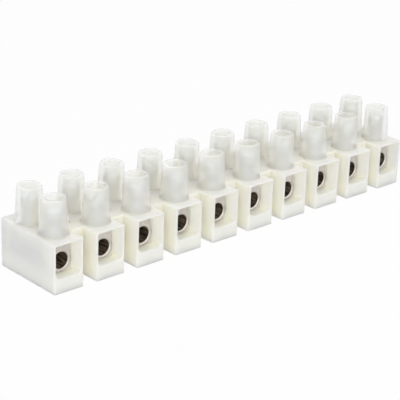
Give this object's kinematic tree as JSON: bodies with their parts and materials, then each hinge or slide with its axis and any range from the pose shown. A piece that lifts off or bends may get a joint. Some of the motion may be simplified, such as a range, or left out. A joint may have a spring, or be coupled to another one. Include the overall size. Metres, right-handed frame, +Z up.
{
  "type": "terminal strip",
  "caption": "Translucent plastic terminal strip: a row of joined poles with plated wire inserts, clamped by slotted screws down open towers.",
  "frame": {"origin": "middle of the flat base", "axes": "+X along the row of poles, +Y from the front wire funnels to the back ones, +Z up the screw towers"},
  "size_m": [0.1162, 0.0208, 0.0213],
  "materials": {
    "natural_plastic": "translucent, moulded, satin",
    "plated_insert": "nickel plated",
    "screw_steel": "zinc plated"
  },
  "bodies": {
    "strip": {"insulator_strip": "natural_plastic", "insert_01": "plated_insert", "insert_02": "plated_insert", "insert_03": "plated_insert", "insert_04": "plated_insert", "insert_05": "plated_insert", "insert_06": "plated_insert", "insert_07": "plated_insert", "insert_08": "plated_insert", "insert_09": "plated_insert", "insert_10": "plated_insert"},
    "screw_front_01": {"screw_front_01": "screw_steel"},
    "screw_front_02": {"screw_front_02": "screw_steel"},
    "screw_front_03": {"screw_front_03": "screw_steel"},
    "screw_front_04": {"screw_front_04": "screw_steel"},
    "screw_front_05": {"screw_front_05": "screw_steel"},
    "screw_front_06": {"screw_front_06": "screw_steel"},
    "screw_front_07": {"screw_front_07": "screw_steel"},
    "screw_front_08": {"screw_front_08": "screw_steel"},
    "screw_front_09": {"screw_front_09": "screw_steel"},
    "screw_front_10": {"screw_front_10": "screw_steel"},
    "screw_back_01": {"screw_back_01": "screw_steel"},
    "screw_back_02": {"screw_back_02": "screw_steel"},
    "screw_back_03": {"screw_back_03": "screw_steel"},
    "screw_back_04": {"screw_back_04": "screw_steel"},
    "screw_back_05": {"screw_back_05": "screw_steel"},
    "screw_back_06": {"screw_back_06": "screw_steel"},
    "screw_back_07": {"screw_back_07": "screw_steel"},
    "screw_back_08": {"screw_back_08": "screw_steel"},
    "screw_back_09": {"screw_back_09": "screw_steel"},
    "screw_back_10": {"screw_back_10": "screw_steel"}
  },
  "joints": [
    {"name": "clamp_front_01", "type": "slide", "parent": "strip", "child": "screw_front_01", "axis": [0, 0, 1], "range_m": [-0.0037, 0.0022]},
    {"name": "clamp_front_02", "type": "slide", "parent": "strip", "child": "screw_front_02", "axis": [0, 0, 1], "range_m": [-0.0037, 0.0022]},
    {"name": "clamp_front_03", "type": "slide", "parent": "strip", "child": "screw_front_03", "axis": [0, 0, 1], "range_m": [-0.0037, 0.0022]},
    {"name": "clamp_front_04", "type": "slide", "parent": "strip", "child": "screw_front_04", "axis": [0, 0, 1], "range_m": [-0.0037, 0.0022]},
    {"name": "clamp_front_05", "type": "slide", "parent": "strip", "child": "screw_front_05", "axis": [0, 0, 1], "range_m": [-0.0037, 0.0022]},
    {"name": "clamp_front_06", "type": "slide", "parent": "strip", "child": "screw_front_06", "axis": [0, 0, 1], "range_m": [-0.0037, 0.0022]},
    {"name": "clamp_front_07", "type": "slide", "parent": "strip", "child": "screw_front_07", "axis": [0, 0, 1], "range_m": [-0.0037, 0.0022]},
    {"name": "clamp_front_08", "type": "slide", "parent": "strip", "child": "screw_front_08", "axis": [0, 0, 1], "range_m": [-0.0037, 0.0022]},
    {"name": "clamp_front_09", "type": "slide", "parent": "strip", "child": "screw_front_09", "axis": [0, 0, 1], "range_m": [-0.0037, 0.0022]},
    {"name": "clamp_front_10", "type": "slide", "parent": "strip", "child": "screw_front_10", "axis": [0, 0, 1], "range_m": [-0.0037, 0.0022]},
    {"name": "clamp_back_01", "type": "slide", "parent": "strip", "child": "screw_back_01", "axis": [0, 0, 1], "range_m": [-0.0037, 0.0022]},
    {"name": "clamp_back_02", "type": "slide", "parent": "strip", "child": "screw_back_02", "axis": [0, 0, 1], "range_m": [-0.0037, 0.0022]},
    {"name": "clamp_back_03", "type": "slide", "parent": "strip", "child": "screw_back_03", "axis": [0, 0, 1], "range_m": [-0.0037, 0.0022]},
    {"name": "clamp_back_04", "type": "slide", "parent": "strip", "child": "screw_back_04", "axis": [0, 0, 1], "range_m": [-0.0037, 0.0022]},
    {"name": "clamp_back_05", "type": "slide", "parent": "strip", "child": "screw_back_05", "axis": [0, 0, 1], "range_m": [-0.0037, 0.0022]},
    {"name": "clamp_back_06", "type": "slide", "parent": "strip", "child": "screw_back_06", "axis": [0, 0, 1], "range_m": [-0.0037, 0.0022]},
    {"name": "clamp_back_07", "type": "slide", "parent": "strip", "child": "screw_back_07", "axis": [0, 0, 1], "range_m": [-0.0037, 0.0022]},
    {"name": "clamp_back_08", "type": "slide", "parent": "strip", "child": "screw_back_08", "axis": [0, 0, 1], "range_m": [-0.0037, 0.0022]},
    {"name": "clamp_back_09", "type": "slide", "parent": "strip", "child": "screw_back_09", "axis": [0, 0, 1], "range_m": [-0.0037, 0.0022]},
    {"name": "clamp_back_10", "type": "slide", "parent": "strip", "child": "screw_back_10", "axis": [0, 0, 1], "range_m": [-0.0037, 0.0022]}
  ]
}
